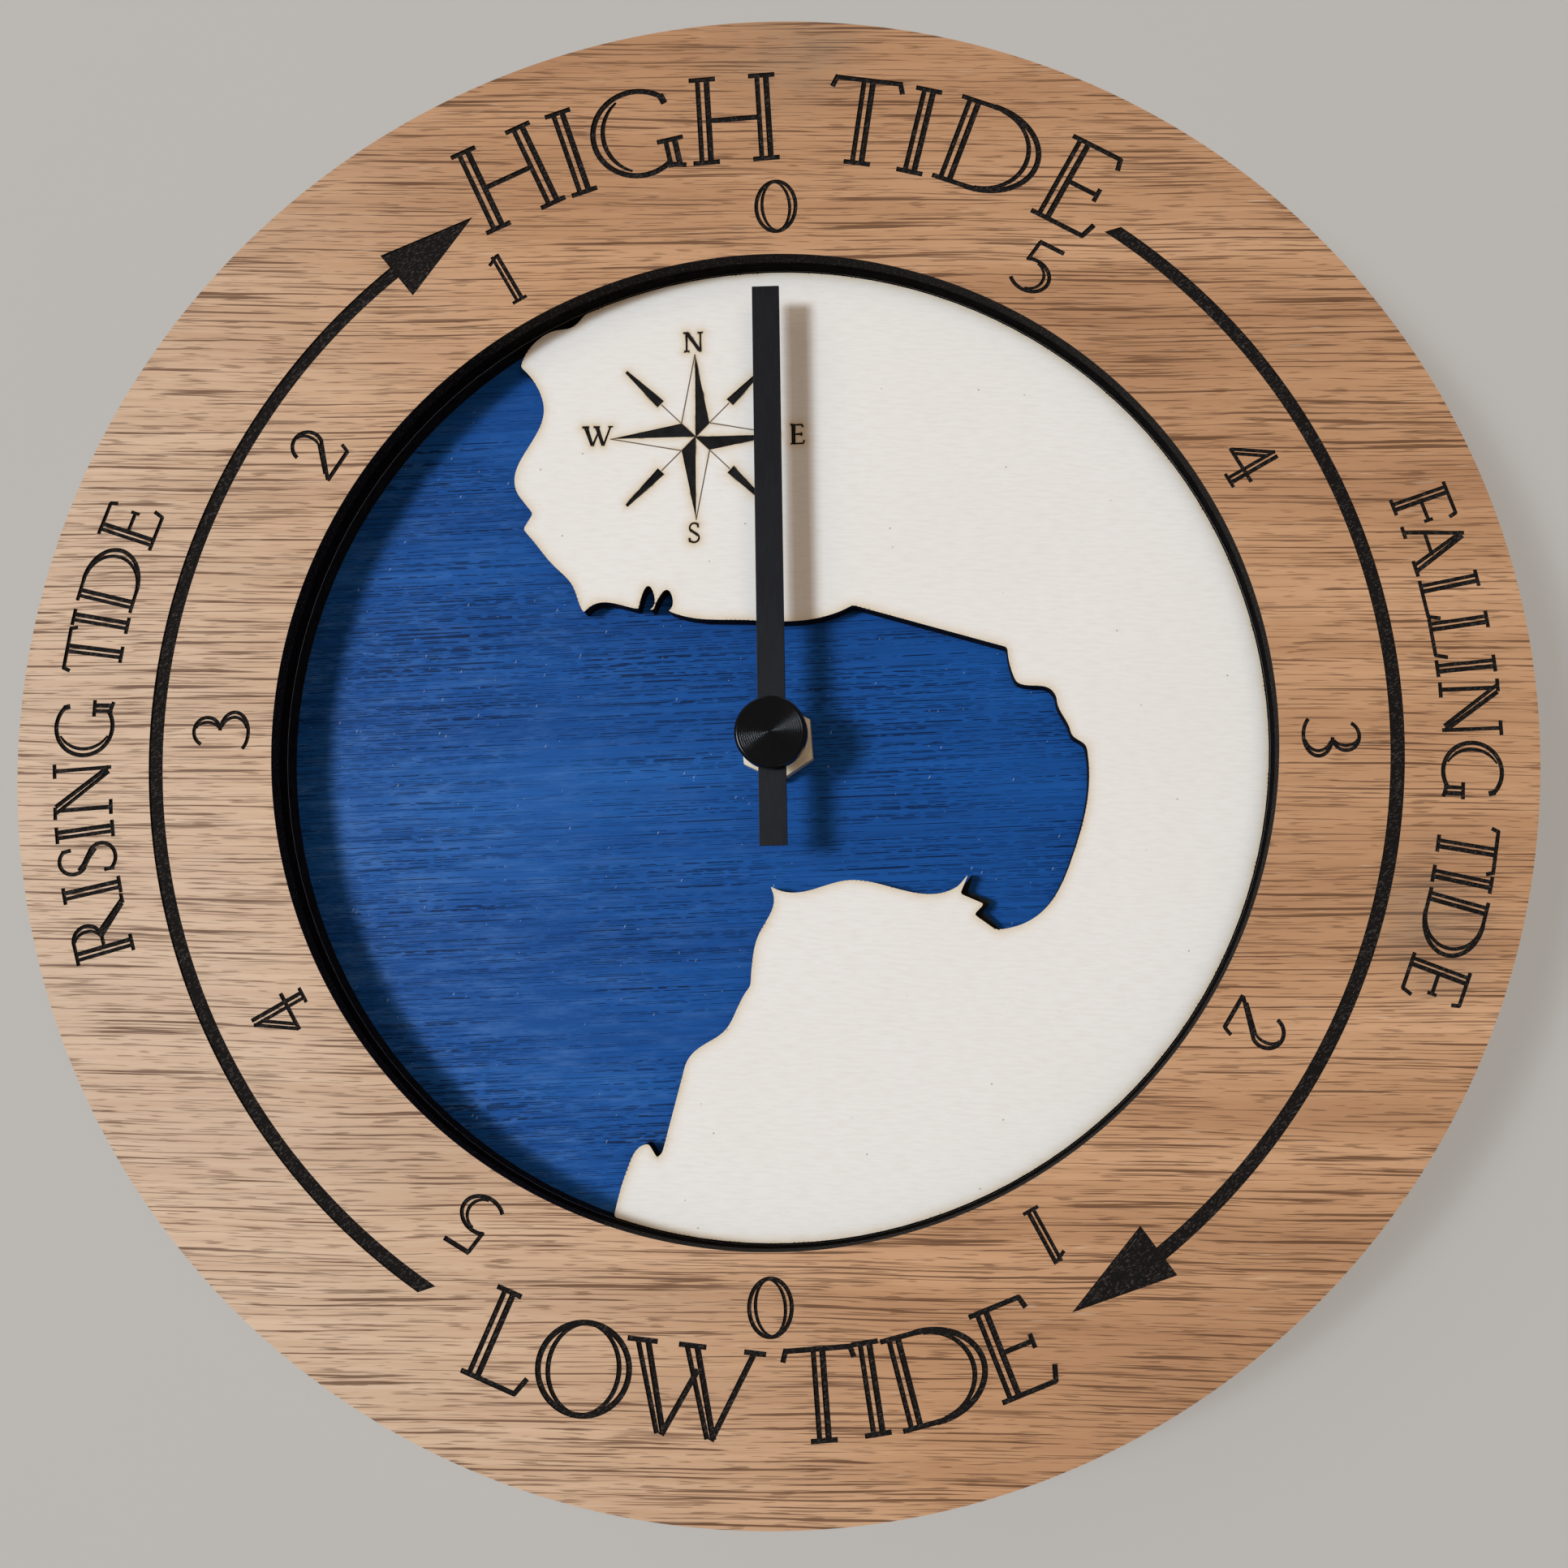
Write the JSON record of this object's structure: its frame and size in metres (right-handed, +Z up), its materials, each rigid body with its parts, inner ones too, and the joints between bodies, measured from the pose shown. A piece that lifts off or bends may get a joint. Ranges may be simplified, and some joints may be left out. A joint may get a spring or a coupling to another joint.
{
  "type": "tide clock",
  "caption": "Round wall tide clock of layered plywood: burnt dial ring, blue sea panel, pale land insert and one baton hand on a geared quartz movement.",
  "frame": {"origin": "centre of the bounding box, on the axis of the hand's shaft", "axes": "+Z up, +X right seen from the front, -Y out of the face towards the viewer"},
  "size_m": [0.3, 0.038, 0.3],
  "materials": {
    "oak_veneer": "oiled oak veneer with burnt engraving",
    "charred_ply": "laser-charred birch plywood",
    "land_paint": "off-white wash on plywood",
    "sea_stain": "blue stain on plywood, grain showing",
    "brass": "turned",
    "rubber": "matt",
    "zinc_steel": "zinc plated",
    "case_plastic": "spark-eroded texture",
    "plate_plastic": "moulded",
    "wheel_plastic": "moulded acetal",
    "knob_plastic": "moulded",
    "black_metal": "satin black",
    "magnet": "sintered",
    "copper_wire": "enamelled copper winding",
    "board": "solder mask",
    "cell_jacket": "shrink jacket"
  },
  "bodies": {
    "clock": {"dial_ring": "oak_veneer", "spacer_ring": "charred_ply", "land_ring": "land_paint", "land_layer": "land_paint", "sea_panel": "sea_stain", "centre_bush": "brass", "sealing_washer": "rubber", "brass_washer": "brass", "hex_nut": "brass", "hanger_bracket": "zinc_steel", "movement_case": "case_plastic", "middle_plate": "plate_plastic", "back_cover": "case_plastic", "stator_plate": "zinc_steel", "coil_core": "zinc_steel", "drive_coil": "copper_wire", "circuit_board": "board", "quartz_crystal": "zinc_steel", "battery_cell": "cell_jacket", "positive_contact": "zinc_steel", "negative_contact": "zinc_steel"},
    "hand": {"tide_wheel": "wheel_plastic", "tide_hand": "black_metal", "hand_cap": "black_metal"},
    "minute": {"minute_wheel": "wheel_plastic"},
    "setting": {"centre_arbor": "wheel_plastic", "setting_knob": "knob_plastic"},
    "centre": {"centre_wheel": "wheel_plastic"},
    "third": {"third_wheel": "wheel_plastic"},
    "second": {"second_wheel": "wheel_plastic"},
    "rotor": {"motor_rotor": "magnet"}
  },
  "joints": [
    {"name": "hand_turn", "type": "hinge", "parent": "clock", "child": "hand", "pos_m": [0, 0, 0], "axis": [0, 1, 0], "continuous": true},
    {"name": "minute_turn", "type": "hinge", "parent": "clock", "child": "minute", "pos_m": [-0.00625, 0, 0.00625], "axis": [0, 1, 0], "continuous": true},
    {"name": "setting_turn", "type": "hinge", "parent": "clock", "child": "setting", "pos_m": [0, 0, 0], "axis": [0, 1, 0], "continuous": true},
    {"name": "third_turn", "type": "hinge", "parent": "clock", "child": "third", "pos_m": [0.00696, 0, 0.00488], "axis": [0, 1, 0], "continuous": true},
    {"name": "centre_turn", "type": "hinge", "parent": "clock", "child": "centre", "pos_m": [0, 0, 0], "axis": [0, 1, 0], "continuous": true},
    {"name": "second_turn", "type": "hinge", "parent": "clock", "child": "second", "pos_m": [-0.0004, 0, 0.00913], "axis": [0, 1, 0], "continuous": true},
    {"name": "rotor_turn", "type": "hinge", "parent": "clock", "child": "rotor", "pos_m": [-0.0089, 0, 0.00913], "axis": [0, 1, 0], "continuous": true}
  ],
  "couplings": [
    {"joint": "minute_turn", "follows": "hand_turn", "ratio": -3.3333},
    {"joint": "setting_turn", "follows": "hand_turn", "ratio": 12.424},
    {"joint": "centre_turn", "follows": "third_turn", "ratio": -0.25},
    {"joint": "second_turn", "follows": "third_turn", "ratio": -4},
    {"joint": "rotor_turn", "follows": "third_turn", "ratio": 16}
  ]
}
